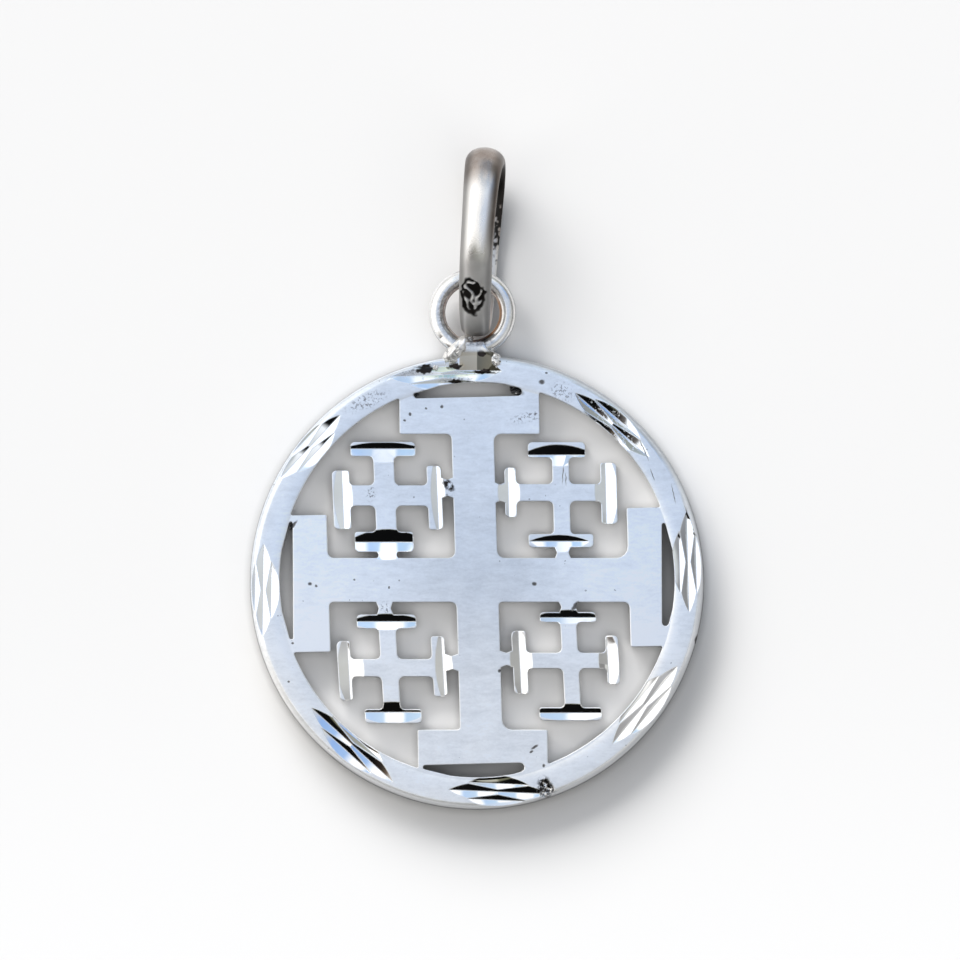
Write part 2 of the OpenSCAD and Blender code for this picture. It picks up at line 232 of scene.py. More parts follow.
def makeCamera():
    data = bpy.data.cameras.new("camera")
    data.lens = data.sensor_width * (view["distance"] - view["face"]) / view["across"]
    data.clip_end = view["clipEnd"]
    made = bpy.data.objects.new("camera", data)
    made.location = (view["middle"][0] * mm, view["middle"][1] * mm, view["distance"] * mm)
    bpy.context.scene.collection.objects.link(made)
    bpy.context.scene.camera = made


def makeFloor():
    half = studio["floorHalf"]
    mesh = bpy.data.meshes.new("floor")
    mesh.from_pydata([(x, y, 0) for x, y in ((-half, -half), (half, -half), (half, half), (-half, half))],
                     [], [(0, 1, 2, 3)])
    made = bpy.data.objects.new("floor", mesh)
    bpy.context.scene.collection.objects.link(made)
    material, graph, shader = newMaterial("floorPaper", studio["paperRough"], 0)
    x, y, z = graph.apart(graph.place())
    # painted light: the paper lighter towards the front
    paper = graph.mix(y.ramp(*studio["paperBlend"]), studio["paperNear"], studio["paper"])
    # painted shade: the paper darker within reach of the metal
    clear = graph.node("ShaderNodeAmbientOcclusion", {"samples": studio["cornerSamples"]},
                       {"Distance": studio["cornerReach"] * mm}, "AO")
    feed(graph, shader, "Base Color", graph.scaled(paper, 1 - studio["cornerShade"] * (1 - clear)))
    shader.inputs["Specular IOR Level"].default_value = studio["paperShine"]
    mesh.materials.append(material)


def lightStudio():
    world = bpy.data.worlds.new("studio")
    bpy.context.scene.world = world
    graph = Graph(world)
    x, y, z = graph.apart(graph.node("ShaderNodeTexCoord"))
    turn = y.maths("ARCTAN2", y, x) / (2 * math.pi)
    turn = turn.maths("FRACT", turn)  # 0 to 1 round the compass
    rings = {}
    for name in ("lower", "upper", "ceiling", "halo"):
        stops = [(angle / 360, colour) for angle, colour in studio[name]]
        rings[name] = graph.node("ShaderNodeValToRGB", {"stops": stops + [(1, stops[0][1])]}, {"Fac": turn})
    around = graph.mix(z.ramp(*studio["upperFrom"]), rings["lower"], rings["upper"])
    around = graph.mix(z.ramp(*studio["ceilingFrom"]), around, rings["ceiling"])
    around = graph.mix(z.ramp(*studio["haloFrom"]), around, rings["halo"])
    colour = graph.mix(z.ramp(*studio["zenithFrom"]), around, studio["zenith"])
    back = graph.node("ShaderNodeBackground", None, {"Color": colour, "Strength": 1.0})
    graph.node("ShaderNodeOutputWorld", None, {"Surface": back})
    for name, place, power, width in studio["screens"]:
        data = bpy.data.lights.new(name, "SUN")
        data.energy, data.angle = power, math.radians(width)
        screen = bpy.data.objects.new(name, data)
        screen.rotation_euler = Vector(place).to_track_quat("Z", "Y").to_euler()
        screen.visible_glossy = False  # large and soft: no hot spot on the polish
        bpy.context.scene.collection.objects.link(screen)


makeCamera()
makeFloor()
lightStudio()
bpy.context.scene.view_settings.view_transform = "Standard"
print("camera, floor and light set")

# medallion
disc = {
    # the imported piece
    "faceZ": 1.5, "radius": 10, "eye": (-0.2, 11.88), "eyeHole": 1.2, "bandMiddle": 9.35, "bandHalf": 0.65,
    # its mesh: mm, creases in degrees, slopes as the upward part of a normal
    "weld": 0.002, "creaseFlat": 6, "creaseRim": 26, "creaseRing": 14, "ringPast": 10.05, "rimPast": 9.70,
    "steep": 0.3, "level": 0.985, "sameWay": 0.6,
    # colours
    "cool": (0.82, 0.86, 0.91, 1), "plain": (0.93, 0.92, 0.90, 1), "chalk": (0.92, 0.92, 0.92, 1),
    "dull": (0.62, 0.62, 0.62, 1), "shade": (0.34, 0.34, 0.34, 1), "shadow": (0.13, 0.13, 0.13, 1),
    "grimeAndPaintedDark": (0.035, 0.03, 0.028, 1), "pore": (0.2, 0.2, 0.22, 1), "copper": (0.30, 0.16, 0.08, 1),
    "greenReflection": (0.62, 0.69, 0.60, 1), "beige": (0.54, 0.485, 0.39, 1), "olive": (0.18, 0.17, 0.135, 1),
    # roughness of each part, and at least this much where it is flawed
    "satin": 0.32, "polished": 0.04, "worn": 0.22, "wall": 0.95, "rim": 0.42, "mottledRough": 0.1,
    "flawRough": {"scars": 0.6, "pores": 0.5, "matte": 0.4, "foot": 0.3, "dusty": 0.5},
    # heights in mm, tilts in degrees: of the domed face at the disc's edge, of the band at its two edges
    "edge": 0.068, "edgeSamples": 6, "domeTilt": 2.4, "bandTilt": 13, "bandPower": 3,
    "streakHeight": 0.0012, "scarDepth": 0.004, "dentHeight": 0.004,
    "limits": {
        # where each part begins and where it is full: mm, or the upward part of a normal
        "ring": (10.1, 10.3), "rim": (9.69, 9.75), "outward": (0.9, 0.97), "edge": (9.9, 9.96),
        "cut": (0.3, 0.4), "face": (0.985, 0.995), "wall": (0.05, 0.3),
        "skin": (1.0, 1.2), "corner": (0.95, 1.15),
        "footY": (9.33, 9.37), "footLeft": (-0.80, -0.74), "footRight": (1.0, 1.1),
        "footFold": (-0.02, 0.02),
        # the tarnished and the worn inside of the eye ring: distances past its hole, then the lower right
        "eyeInner": (0.06, 0.16), "eyeWorn": (0.2, 0.42), "eyeSlant": 0.8, "eyeSide": (0.2, 1.0),
        "greenReflectionUp": (0.1, 0.3), "least": 0.0001,
    },
    "tone": {
        # brightness over the face, lighter towards the edge and along the level arms as painted light, and
        # how much each kind of stroke changes it
        "coolFrom": (-5.5, 2.5), "base": 0.92, "outer": 0.11, "outerFrom": (1.0, 6.5), "ring": 0.12,
        "bar": 0.10, "barFrom": (1.5, 4.5), "barEnd": (8.4, 9.4), "barSide": (2.5, 4),
        "mottle": 0.14, "streaks": 0.28, "blotches": 0.34, "fine": 0.14,
        # the rim and the ring: diffuse where they turn from the key light, with painted shade where they
        # drop away and along the outer edge
        "keyWay": (0.5, -0.87), "awayFrom": (-0.2, 0.7), "awayGain": 1.5, "rightFrom": (-0.3, 0.6),
        "dusk": 0.9, "duskRight": 0.3, "duskUp": (0.3, 0.6), "duskUpRight": (0.25, 0.32),
        "dullRim": 0.95, "dullRimUp": (0.90, 0.99), "dullRing": 0.85, "dullRingUp": (0.2, 0.55),
        "dullFrom": (0.25, 0.75), "deep": 0.7, "deepUp": (0.2, 0.7),
        # how strongly the flaws show
        "wornRing": 0.55, "copper": 0.35, "copperSide": 0.6, "arch": 0.3, "archSpots": 0.9, "archMost": 0.9,
        "pores": 0.85, "matte": 0.7, "scars": 0.85, "specks": 0.5,
    },
    "brush": {
        # noise: scale, detail, roughness; the strokes lie level
        "streaks": (1.0, 5, 0.66), "streakStretch": (1.6, 6, 3), "swirl": (1.3, 0.5, 0),
        "blotches": (1.0, 5, 0.7), "blotchStretch": (0.7, 2.2, 1),
        "fine": (9.0, 2, 0.6), "mottle": (0.9, 4, 0.6), "dents": (2.2, 2, 0.5),
    },
    "flaws": {
        # walls that the wheel tipped: x, y, reach, way they face, way they lean, how much
        "leans": [(5.94, 6.93, 2.6, 229, 139, 0.10), (5.94, 6.93, 2.6, 49, 49, 0.17),
                  (7.39, -5.39, 2.6, 320, 355, 0.17), (-1.7, 9.2, 2.3, 270, 90, 0.22),
                  (9.29, 0.9, 2.8, 6, 6, 0.14)],
        # ovals: x, y, half length, half width, turn
        "scars": [
            (2.52, -0.06, 0.10, 0.09, 0), (-7.36, -0.06, 0.09, 0.08, 0), (-7.08, -0.15, 0.07, 0.06, 0),
            (-5.41, 0.13, 0.05, 0.05, 0), (-3.87, -0.22, 0.05, 0.05, 0), (-8.12, -2.66, 0.06, 0.05, 0),
            (-8.29, -4.36, 0.06, 0.05, 0), (-2.24, 7.67, 0.06, 0.05, 0), (-1.54, 7.75, 0.08, 0.07, 0),
            (-2.95, 7.42, 0.09, 0.07, 80), (-3.19, 7.14, 0.06, 0.05, 0), (2.85, 8.83, 0.14, 0.11, 20),
            (3.06, 9.23, 0.07, 0.05, 0), (2.54, -7.24, 0.20, 0.06, 35), (2.39, -7.45, 0.10, 0.05, 20),
            (2.94, -8.06, 0.07, 0.09, 0), (0.99, -3.89, 0.08, 0.09, 0), (9.64, -2.50, 0.22, 0.05, 78),
            (1.74, 8.43, 0.34, 0.15, -22), (-2.72, 8.28, 0.13, 0.09, 30), (-8.06, 2.53, 0.26, 0.07, 55),
            (7.35, 5.85, 0.55, 0.025, -66), (7.72, 4.75, 0.30, 0.02, -70), (8.65, 3.9, 0.45, 0.02, -78),
            (3.78, 4.75, 0.42, 0.02, 86), (3.92, 4.55, 0.30, 0.02, 92), (4.31, -1.04, 0.28, 0.10, 55)],
        "porous": [
            (-4.84, 7.99, 1.0, 0.34, 24), (3.74, 8.39, 0.55, 0.42, -30), (-1.23, 4.16, 0.38, 0.26, -50),
            (-4.05, -1.12, 0.22, 0.3, 0), (3.0, -9.1, 0.46, 0.5, 20), (-4.67, 3.92, 0.35, 0.2, 80),
            (2.3, 7.3, 0.9, 0.22, 12)],
        "craters": [(2.98, -9.0, 0.32, 0.50, 12), (-1.25, 4.30, 0.34, 0.2, -45)],
        "arch": [(-0.05, 10.62, 0.75, 0.24, 0)],  # where the foot meets the ring
        # on the cut facets
        # painted dark reflection: near-black patches on some cut walls
        "darkReflection": [(-2.3, 9.38, 0.42, 0.2, 5), (-0.99, 8.86, 0.34, 0.1, 2), (0.2, 10.1, 0.2, 0.12, -20),
                  (-0.92, 9.52, 0.36, 0.15, 8), (0.2, 9.29, 0.44, 0.12, 0), (9.27, 3.0, 0.22, 0.12, -50),
                  (9.66, 2.22, 0.2, 0.11, -52), (8.87, 2.12, 0.09, 0.035, -70)],
        "matte": [(-3.0, 9.42, 0.75, 0.3, 12), (-0.95, 8.93, 0.8, 0.11, 4)],
        "dusty": [(6.1, 7.3, 2.4, 1.1, -43), (-1.6, 9.4, 2.6, 0.5, 3)],
        # painted reflection: a green tint on the cut walls here that face north
        "greenReflection": [(-1.1, 9.35, 1.9, 0.36, 3)],
        # slots whose walls are in shadow, at half the thickness
        "dim": [(8.55, 0.1, 2.9, 0.42, 90), (-0.3, -8.2, 2.7, 0.42, 0)], "dimZ": 0.75,
        "soft": {"scars": 0.5, "porous": 0.6, "craters": 0.4, "arch": 0.4, "darkReflection": 0.2, "matte": 0.5,
                 "dusty": 0.3, "greenReflection": 0.3, "dim": 0.2},
        # outlines are shaken by noise of this scale, this far; spots: scale, from, full, detail, roughness
        "bend": (6.0, 0.09), "tear": (3.5, 0.4),
        "spots": {"pores": (8.0, 0.51, 0.60), "specks": (4.5, 0.77, 0.81, 1, 0.5),
                  "craters": (4.5, 0.42, 0.50), "arch": (5.0, 0.42, 0.60), "matte": (7.0, 0.40, 0.62),
                  "dusty": (6.0, 0.52, 0.66), "worn": (7.0, 0.38, 0.60, 4)},
    },
}


def wayOf(degrees):
    return Vector((math.cos(math.radians(degrees)), math.sin(math.radians(degrees)), 0))


def leanOf(middle, normal):
    for x, y, reach, facing, way, much in disc["flaws"]["leans"]:
        near = (middle.xy - Vector((x, y))).length < reach
        if near and normal.xy.normalized().dot(wayOf(facing).xy) > disc["sameWay"]:
            return wayOf(way) * much
    return Vector()


def creasedCopy(node):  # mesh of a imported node, shaded smooth between its sharp edges
    bm = bmesh.new()
    bm.from_mesh(node.data)
    layer = bm.faces.layers.float_vector.new("lean")
    bmesh.ops.remove_doubles(bm, verts=bm.verts, dist=disc["weld"] * mm)
    bmesh.ops.dissolve_degenerate(bm, edges=bm.edges, dist=disc["weld"] * mm)
    for edge in bm.edges:
        reach = ((edge.verts[0].co + edge.verts[1].co) / (2 * mm)).xy.length
        slope = max(face.normal.z for face in edge.link_faces)
        crease = disc["creaseFlat"]
        if reach > disc["ringPast"]:
            crease = disc["creaseRing"]
        elif slope < disc["steep"] or (reach > disc["rimPast"] and slope < disc["level"]):
            crease = disc["creaseRim"]
        edge.smooth = edge.is_manifold and edge.calc_face_angle() < math.radians(crease)
    for face in bm.faces:
        face.smooth = True
        if disc["steep"] < face.normal.z < disc["level"]:
            face[layer] = leanOf(face.calc_center_median() / mm, face.normal)
    mesh = bpy.data.meshes.new(node.name + "_metal")
    bm.to_mesh(mesh)
    bm.free()
    return mesh


def readParts(graph, at):  # masks of the medallion's parts, and the wires that they are made of
    limits = disc["limits"]
    x, y, z = graph.apart(at)
    nx, ny, nz = graph.apart(graph.node("ShaderNodeNewGeometry", output="Normal"))
    level = (1 - nz * nz).atLeast(limits["least"]).root()
    radius = (x * x + y * y).root()
    ring = y.ramp(*limits["ring"])
    outward = ((nx * x + ny * y) / (radius * level)).ramp(*limits["outward"])
    rim = radius.ramp(*limits["rim"]) * outward
    facet = nz.ramp(*limits["cut"]) * (1 - nz.ramp(*limits["face"])) * (1 - rim) * (1 - ring)
    wall = (1 - nz.size().ramp(*limits["wall"])) * (1 - ring)
    edge = radius.ramp(*limits["edge"])
    foot = (facet * y.ramp(*limits["footY"]) * x.ramp(*limits["footLeft"])
            * (1 - x.ramp(*limits["footRight"])))
    return SimpleNamespace(x=x, y=y, z=z, nx=nx, ny=ny, nz=nz, level=level, radius=radius, ring=ring,
                           rim=rim, facet=facet, wall=wall, edge=edge, chalky=wall * (1 - edge), foot=foot)


def readFlaws(graph, at, part):  # masks of what the casting, the wheel and wear left, of painted dark and green reflections on the cut walls, and of shade painted in two slots
    limits, flaws = disc["limits"], disc["flaws"]

    def ovals(kind, place, height=disc["faceZ"]):
        return graph.patches(place, flaws[kind], height, flaws["soft"][kind])

    def spots(kind):
        return graph.speckle(at, *flaws["spots"][kind])

    bent, torn = graph.shaken(at, *flaws["bend"]), graph.shaken(at, *flaws["tear"])
    skin = part.z.ramp(*limits["skin"])
    eyeX, eyeY = part.x - disc["eye"][0], part.y - disc["eye"][1]
    pastHole = (eyeX * eyeX + eyeY * eyeY).root() - disc["eyeHole"]
    side = (eyeX - eyeY * limits["eyeSlant"]).ramp(*limits["eyeSide"])
    return SimpleNamespace(
        scars=ovals("scars", bent) * skin,
        pores=spots("pores") * (ovals("porous", bent) * skin),
        specks=spots("specks") * skin * (1 - part.facet),
        craters=ovals("craters", bent) * skin * spots("craters"),
        darkReflection=ovals("darkReflection", torn) * part.facet,
        matte=ovals("matte", bent) * part.facet,
        matteSpots=spots("matte"),
        dusty=ovals("dusty", at) * part.facet * spots("dusty"),
        greenReflection=ovals("greenReflection", at) * part.facet * part.ny.ramp(*limits["greenReflectionUp"]),
        dim=ovals("dim", at, flaws["dimZ"]),
        arch=ovals("arch", bent),
        archSpots=spots("arch"),
        side=side,
        inner=part.ring * (1 - pastHole.ramp(*limits["eyeInner"])),
        worn=part.ring * (1 - pastHole.ramp(*limits["eyeWorn"])) * (1 - side) * spots("worn"))


def readStrokes(graph, at):  # brush strokes, clouds and dents, all round 0.5
    brush = disc["brush"]
    swirl = graph.vector("MULTIPLY", graph.shaken(at, *brush["swirl"]), brush["streakStretch"])
    cloud = graph.vector("MULTIPLY", at, brush["blotchStretch"])
    return SimpleNamespace(streaks=graph.grain(swirl, *brush["streaks"]),
                           blotches=graph.grain(cloud, *brush["blotches"]),
                           **{name: graph.grain(at, *brush[name]) for name in ("fine", "mottle", "dents")})


def readTurns(part):  # how the rim and the ring turn from the light, and where shade is painted on them
    limits, tone = disc["limits"], disc["tone"]
    keyX, keyY = tone["keyWay"]
    away = ((part.nx * keyX + part.ny * keyY) / part.level).ramp(*tone["awayFrom"])
    right = (part.nx / part.level).ramp(*tone["rightFrom"])
    up = [low + more * right for low, more in zip(tone["duskUp"], tone["duskUpRight"])]
    corner = part.z.ramp(*limits["corner"]).atLeast(part.ring)  # not the wall below the rim
    # painted shade on the rim's drop: dusk on the side towards the light, dull on the side away from it and
    # on the ring's steep sides, deep along the outer edge and the foot of the outer wall
    dusk = part.rim * (tone["dusk"] - tone["duskRight"] * right) * (1 - away) * (1 - part.nz.ramp(*up))
    dullRim = tone["dullRim"] * part.rim * (tone["awayGain"] * away).atMost(1)
    dullRim = dullRim * (1 - part.nz.ramp(*tone["dullRimUp"]))
    dullRing = part.ring * tone["dullRing"] * (1 - part.nz.ramp(*tone["dullRingUp"]))
    deep = (part.rim * (1 - part.nz.ramp(*tone["deepUp"]))).atLeast(part.wall * part.edge)
    return SimpleNamespace(dusk=dusk * corner, dull=dullRim.atLeast(dullRing) * corner, deep=deep * corner)


def medallionColour(graph, part, flaw, stroke, turned):
    limits, tone = disc["limits"], disc["tone"]
    # painted reflection: the face bluer towards the top, plainer towards the bottom
    metal = graph.mix(part.y.ramp(*tone["coolFrom"]), disc["plain"], disc["cool"])
    # painted light: lighter towards the edge and along the level arms
    bar = part.x.size().ramp(*tone["barFrom"]) * (1 - part.x.size().ramp(*tone["barEnd"]))
    bar = bar * (1 - part.y.size().ramp(*tone["barSide"]))
    bright = tone["base"] + tone["outer"] * part.radius.ramp(*tone["outerFrom"]) + tone["bar"] * bar
    bright = bright + (stroke.mottle - 0.5) * tone["mottle"] - tone["ring"] * part.ring
    brushed = (stroke.streaks - 0.5) * tone["streaks"] + (stroke.blotches - 0.5) * tone["blotches"]
    brushed = brushed + (stroke.fine - 0.5) * tone["fine"]
    bright = bright + brushed * (1 - part.facet)
    metal = graph.scaled(graph.mix(part.ring, metal, disc["plain"]), bright)
    archMask = flaw.arch * (tone["arch"] + tone["archSpots"] * flaw.archSpots).atMost(tone["archMost"])
    coats = [
        # painted green reflection on north-facing cut walls
        (flaw.greenReflection, disc["greenReflection"]),
        (part.foot, graph.mix(part.x.ramp(*limits["footFold"]), disc["beige"], disc["olive"])),
        (part.chalky, graph.mix(flaw.dim, disc["chalk"], disc["shadow"])),
        # painted shade on the rim and the ring where they turn from the light
        (turned.dull, graph.mix(part.nz.ramp(*tone["dullFrom"]), disc["shade"], disc["dull"])),
        (turned.dusk.atLeast(turned.deep * tone["deep"]), disc["shadow"]),
        (flaw.worn * tone["wornRing"], disc["pore"]),
        (flaw.inner * (tone["copper"] + tone["copperSide"] * flaw.side), disc["copper"]),
        (archMask, disc["pore"]),
        (flaw.pores * tone["pores"], disc["pore"]),
        (flaw.matte * flaw.matteSpots * tone["matte"], disc["pore"]),
        # grime in scars, specks and craters, and painted dark reflection on the cut walls
        ((flaw.scars * tone["scars"]).atLeast(flaw.specks * tone["specks"]).atLeast(flaw.craters)
         .atLeast(flaw.darkReflection), disc["grimeAndPaintedDark"])]
    for mask, colour in coats:
        metal = graph.mix(mask, metal, colour)
    return metal


def medallionRoughness(part, flaw, stroke):
    satin = disc["satin"]
    rough = satin + part.facet * (disc["polished"] - satin) + part.wall * (disc["wall"] - satin)
    rough = rough + part.ring * (disc["worn"] - satin) + part.rim * (disc["rim"] - satin)
    rough = rough + (stroke.mottle - 0.5) * disc["mottledRough"] * (1 - part.facet)
    marks = {"scars": flaw.scars, "pores": flaw.pores, "matte": flaw.matte, "foot": part.foot,
             "dusty": flaw.dusty}
    for name, mask in marks.items():
        rough = rough.atLeast(mask * disc["flawRough"][name])
    return rough


def medallionNormal(graph, part, flaw, stroke):
    across = ((part.radius - disc["bandMiddle"]) / disc["bandHalf"]).atLeast(-1).atMost(1)
    domeSlope, bandSlope = (math.tan(math.radians(disc[name])) for name in ("domeTilt", "bandTilt"))
    height = -domeSlope / (2 * disc["radius"]) * part.radius * part.radius
    power = disc["bandPower"]
    height = height - bandSlope * disc["bandHalf"] / power * across.sizeRaised(power)
    rolled = disc["streakHeight"] * stroke.streaks + disc["dentHeight"] * stroke.dents
    height = height + rolled * (1 - part.facet) - disc["scarDepth"] * flaw.scars
    rounded = graph.node("ShaderNodeBevel", {"samples": disc["edgeSamples"]}, {"Radius": disc["edge"] * mm})
    bump = graph.node("ShaderNodeBump", None,
                      {"Strength": 1, "Distance": mm, "Height": height, "Normal": rounded})
    lean = graph.node("ShaderNodeAttribute", {"attribute_name": "lean"}, output="Vector")
    return graph.leaned(bump, lean)


def medallionMaterial():
    material, graph, shader = newMaterial("satinSilver", disc["satin"])
    at = graph.place()
    part = readParts(graph, at)
    flaw, stroke, turned = readFlaws(graph, at, part), readStrokes(graph, at), readTurns(part)
    feed(graph, shader, "Base Color", medallionColour(graph, part, flaw, stroke, turned))
    feed(graph, shader, "Metallic", 1 - part.chalky.atLeast(turned.dull).atLeast(turned.deep))
    feed(graph, shader, "Roughness", medallionRoughness(part, flaw, stroke))
    feed(graph, shader, "Normal", medallionNormal(graph, part, flaw, stroke))
    shader.inputs["Specular IOR Level"].default_value = 0  # no sheen over the chalky walls
    return material


def makeMedallion():
    made = addPiece("medallion_metal", creasedCopy(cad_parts["medallion"]), medallionMaterial(),
                    "silver", "medallion")
    weigh = made.modifiers.new("weigh", "WEIGHTED_NORMAL")
    weigh.keep_sharp, weigh.weight = True, 100


makeMedallion()
print("medallion made")

# solder
solder = {
    # name, middle, half sizes, turn, seed
    "lumps": [("solder_left", (-0.84, 10.28, 1.30), (0.86, 0.35, 0.52), 43, 3),
              ("solder_low", (-1.05, 9.82, 1.10), (0.42, 0.26, 0.44), 10, 5),
              ("solder_bead", (-1.83, 9.44, 1.24), (0.13, 0.16, 0.2), 0, 7),
              ("solder_right", (0.80, 9.76, 1.20), (0.46, 0.25, 0.42), -62, 8)],
    # flash that the casting left in the slots, coloured near black as painted shade of the slot ends
    "flashes": [("flash_top", (1.76, 8.42, 0.72), (0.34, 0.15, 0.62), -22, 4),
                ("flash_corner", (-2.68, 8.29, 0.72), (0.12, 0.10, 0.62), 0, 6),
                ("flash_left", (-8.06, 2.53, 0.72), (0.24, 0.09, 0.62), 55, 9)],
    # shape: subdivisions, how far it swells, and its noise
    "detail": 5, "swell": 0.08, "coarse": 2.2, "fine": 6.0, "fineShare": 0.4,
    "silver": (0.93, 0.91, 0.88, 1), "pit": (0.10, 0.095, 0.09, 1), "slotShade": (0.03, 0.03, 0.032, 1),
    "lumpPits": (0.56, 0.68), "flashPits": (0.60, 0.68), "pitScale": 5.0, "pitShare": 0.85,
    "roughness": 0.3, "pitRough": 0.25, "bumpGrain": (9.0, 3, 0.7), "bumpHeight": 0.03,
}


def solderMaterial(name, metal, pit, pitRange):
    material, graph, shader = newMaterial(name, solder["roughness"])
    at = graph.place()
    pits = graph.speckle(at, solder["pitScale"], *pitRange)
    feed(graph, shader, "Base Color", graph.mix(pits * solder["pitShare"], metal, pit))
    feed(graph, shader, "Roughness", solder["roughness"] + pits * solder["pitRough"])
    height = solder["bumpHeight"] * (graph.grain(at, *solder["bumpGrain"]) - pits)
    feed(graph, shader, "Normal",
         graph.node("ShaderNodeBump", None, {"Strength": 1, "Distance": mm, "Height": height}))
    return material


def makeSolder(lumps, material):
    for name, middle, sizes, turn, seed in lumps:
        bm = bmesh.new()
        bmesh.ops.create_icosphere(bm, subdivisions=solder["detail"], radius=1)
        place = Matrix.Translation(middle) @ Matrix.Rotation(math.radians(turn), 4, "Z")
        for vertex in bm.verts:
            way = vertex.co.copy()
            flow = noise.noise(way * solder["coarse"] + Vector((seed, 0, 0)))
            rough = noise.noise(way * solder["fine"] + Vector((0, seed, 0)))
            spread = Vector([part * half for part, half in zip(way, sizes)])
            swell = solder["swell"] * (flow + solder["fineShare"] * rough)
            vertex.co = (place @ (spread + way * swell)) * mm
        mesh = bpy.data.meshes.new(name)
        bm.to_mesh(mesh)
        bm.free()
        mesh.shade_smooth()
        addPiece(name, mesh, material, "silver")


makeSolder(solder["lumps"],
           solderMaterial("solderSilver", solder["silver"], solder["pit"], solder["lumpPits"]))
# painted shade: the flash pieces near black, with silver pits
makeSolder(solder["flashes"],
           solderMaterial("sootySilver", solder["slotShade"], solder["silver"], solder["flashPits"]))
print("solder made")

# bail
bail = {
    # along from the lower end, height, width, thickness
    "rows": [(0.30, 1.25, 1.24, 0.54), (0.80, 0.60, 1.30, 0.50), (1.90, 0.32, 1.34, 0.48),
             (3.40, 0.32, 1.38, 0.50), (5.10, 0.38, 1.50, 0.56), (6.75, 0.76, 1.64, 0.66),
             (7.60, 1.80, 1.70, 0.94), (7.56, 3.05, 1.68, 0.96), (6.70, 3.96, 1.56, 0.72),
             (5.10, 4.24, 1.46, 0.64), (3.40, 3.95, 1.44, 0.62), (1.90, 3.10, 1.42, 0.60),
             (0.80, 2.18, 1.34, 0.56)],
    "stations": 600, "sides": 96, "step": 0.02, "crown": 0.62,
    "turn": 4, "lean": 4, "foot": (0, 10.86, 0.02),
    # the stamp place: a sunk, ragged oval with shapeless nubs, its place counted in rows and in half widths
    "stampAt": 11.03, "stampHalf": 0.60, "stampAside": 0.1, "stampShare": 0.8, "stampDepth": 0.12,
    "stampWall": 3, "stampEnd": (0.95, 1.1), "ragged": [(0.36, 0.8), (0.14, 2.4)],
    "nubHeight": 0.096, "nubScale": 2.5, "nubSeed": (7.3, 1.9, 0), "nubEdge": (0.05, 0.19),
    "nubEnd": (0.7, 0.85), "nubClean": 0.9,
    # darkening, part tarnish and part painted shade, then a painted warm reflection: how dark or how warm,
    # then between which places or half widths
    "legDark": 0.96, "legFrom": (3.7, 5.0), "legInside": (-0.8, 0.0), "legMarks": 7.5, "legSpread": 2.5,
    "endDark": 0.62, "endFrom": (0.4, 1.7), "endSides": (0.4, 0.95),
    "sideDark": 0.60, "sideFrom": (0.42, 0.85),
    "topWarm": 0.92, "topFrom": (6.1, 7.25),
    "sideWarm": 0.9, "warmSide": (0.35, 0.9), "warmFrom": (3.0, 5.0),
    # finish, with the colours of the painted warm reflection and of the darkening
    "silver": (0.90, 0.88, 0.85, 1), "warm": (0.25, 0.19, 0.155, 1), "grimeAndPaintedDark": (0.02, 0.018, 0.016, 1),
    "warmth": (0.55, 0.7), "bright": (0.92, 0.14), "mottle": (1.4, 4, 0.6), "tilt": (-0.13, 0, 0),
    "roughness": 0.27, "mottledRough": 0.16, "darkRough": 0.15, "lowRough": 0.25, "lowUpTo": (13.5, 14.6),
    "marks": (3.0, 4, 0.65), "markStretch": (3, 1, 3), "markHeight": 0.006,
}


def blendRows(s):  # smooth closed curve through the rows
    rows, n = bail["rows"], len(bail["rows"])
    i = math.floor(s)
    t = s - i
    a, b, c, d = (Vector(rows[(i + j) % n]) for j in (-1, 0, 1, 2))
    return (b * 2 + (c - a) * t + (a * 2 - b * 5 + c * 4 - d) * t * t
            + (b * 3 - a - c * 3 + d) * t * t * t) / 2


def rise(value, limits):  # 0 up to the first limit, 1 from the second, smooth between
    low, high = limits
    t = min(1, max(0, (value - low) / (high - low)))
    return t * t * (3 - 2 * t)


def stampMark(s, v, along, width):  # how deep the surface is sunk there, and how dark it is
    spot = Vector(((s - bail["stampAt"]) / bail["stampHalf"],
                   (v + bail["stampAside"]) / bail["stampShare"]))
    where = Vector((width / 2 * v, along, 0)) * bail["nubScale"]
    near = spot.length + sum(much * noise.noise(where * scale) for much, scale in bail["ragged"])
    if near >= bail["stampEnd"][1]:
        return 0, 0
    nub = 1 - rise(abs(noise.noise(where + Vector(bail["nubSeed"]))), bail["nubEdge"])
    nub *= 1 - rise(near, bail["nubEnd"])
    sunk = min(1, bail["stampWall"] * max(0, 1 - near * near))
    depth = sunk * (bail["stampDepth"] - bail["nubHeight"] * nub)
    return depth, (1 - rise(near, bail["stampEnd"])) * (1 - bail["nubClean"] * nub)


def tarnishAndShade(along, v, up, floorLeg):  # how dark it is there: tarnish marks and painted shade inside the floor leg, painted shade at the lower end and along both edges
    if floorLeg:
        marks = noise.noise(Vector((v, along, 3)) * bail["legMarks"])
        inside = rise(-up, bail["legInside"])
        return bail["legDark"] * rise(along + bail["legSpread"] * marks, bail["legFrom"]) * inside
    # painted shade: darker at the lower end and along both edges
    end = bail["endDark"] * (1 - rise(along, bail["endFrom"])) * (1 - rise(abs(v), bail["endSides"]))
    return max(end, bail["sideDark"] * rise(abs(v), bail["sideFrom"]))


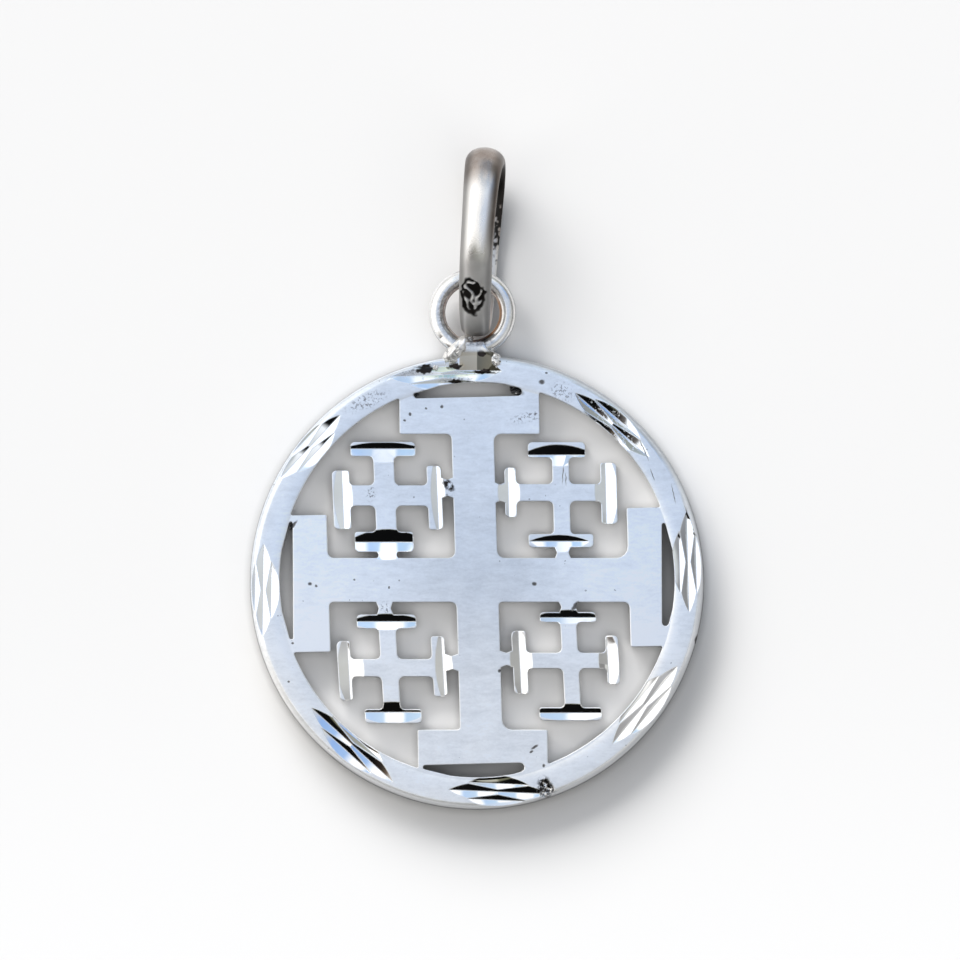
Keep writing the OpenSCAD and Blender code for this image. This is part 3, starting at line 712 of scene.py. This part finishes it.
def bailPoint(s, angle):  # place on the surface, and how dark and how warm it is there
    along, height, width, thickness = blendRows(s)
    ahead = blendRows(s + bail["step"]) - blendRows(s - bail["step"])
    tangent = Vector((ahead[0], ahead[1])).normalized()
    v, up = math.cos(angle), math.sin(angle)
    lift = thickness * up * (bail["crown"] if up > 0 else 1 - bail["crown"])
    sunk, dark = stampMark(s, v, along, width) if up > 0 else (0, 0)
    lift -= sunk
    dark = max(dark, tarnishAndShade(along, v, up, tangent.x > 0))
    # painted warm reflection on the top of the loop and its right side
    warm = max(bail["topWarm"] * rise(along, bail["topFrom"]),
               bail["sideWarm"] * rise(v, bail["warmSide"]) * rise(along, bail["warmFrom"]))
    return Vector((width / 2 * v, along + tangent.y * lift, height - tangent.x * lift)), dark, warm


def bailMaterial():
    material, graph, shader = newMaterial("bailSilver", bail["roughness"])
    at = graph.place()
    dark, warm = (graph.node("ShaderNodeAttribute", {"attribute_name": name}, output="Fac")
                  for name in ("dark", "warm"))
    mottle = graph.grain(at, *bail["mottle"])
    marks = graph.grain(graph.vector("MULTIPLY", at, bail["markStretch"]), *bail["marks"])
    least, more = bail["warmth"]
    # painted warm reflection over the silver
    metal = graph.mix(warm * (least + more * mottle).atMost(1), bail["silver"], bail["warm"])
    least, more = bail["bright"]
    # darkening by the stamp's hollow, by tarnish and by painted shade
    metal = graph.mix(dark, graph.scaled(metal, least + more * mottle), bail["grimeAndPaintedDark"])
    feed(graph, shader, "Base Color", metal)
    low = 1 - graph.apart(at)[1].ramp(*bail["lowUpTo"])
    feed(graph, shader, "Roughness", bail["roughness"] + (mottle - 0.5) * bail["mottledRough"]
         + dark * bail["darkRough"] + low * bail["lowRough"])
    bump = graph.node("ShaderNodeBump", None,
                      {"Strength": 1, "Distance": mm, "Height": bail["markHeight"] * marks})
    feed(graph, shader, "Normal", graph.leaned(bump, bail["tilt"]))
    return material


def makeBail():
    n, m = bail["stations"], bail["sides"]
    place = (Matrix.Translation(Vector(bail["foot"]) * mm)
             @ Matrix.Rotation(math.radians(-bail["turn"]), 4, "Z")
             @ Matrix.Rotation(math.radians(-bail["lean"]), 4, "Y"))
    made = [bailPoint(len(bail["rows"]) * i / n, 2 * math.pi * j / m) for i in range(n) for j in range(m)]
    faces = [(i * m + j, (i + 1) % n * m + j, (i + 1) % n * m + (j + 1) % m, i * m + (j + 1) % m)
             for i in range(n) for j in range(m)]
    mesh = bpy.data.meshes.new("bail_loop")
    mesh.from_pydata([place @ (point * mm) for point, dark, warm in made], [], faces)
    for name, column in (("dark", 1), ("warm", 2)):
        mesh.attributes.new(name, "FLOAT", "POINT").data.foreach_set("value", [row[column] for row in made])
    mesh.shade_smooth()
    addPiece("bail_loop", mesh, bailMaterial(), "bail_silver", "bail")


makeBail()
print("bail made")
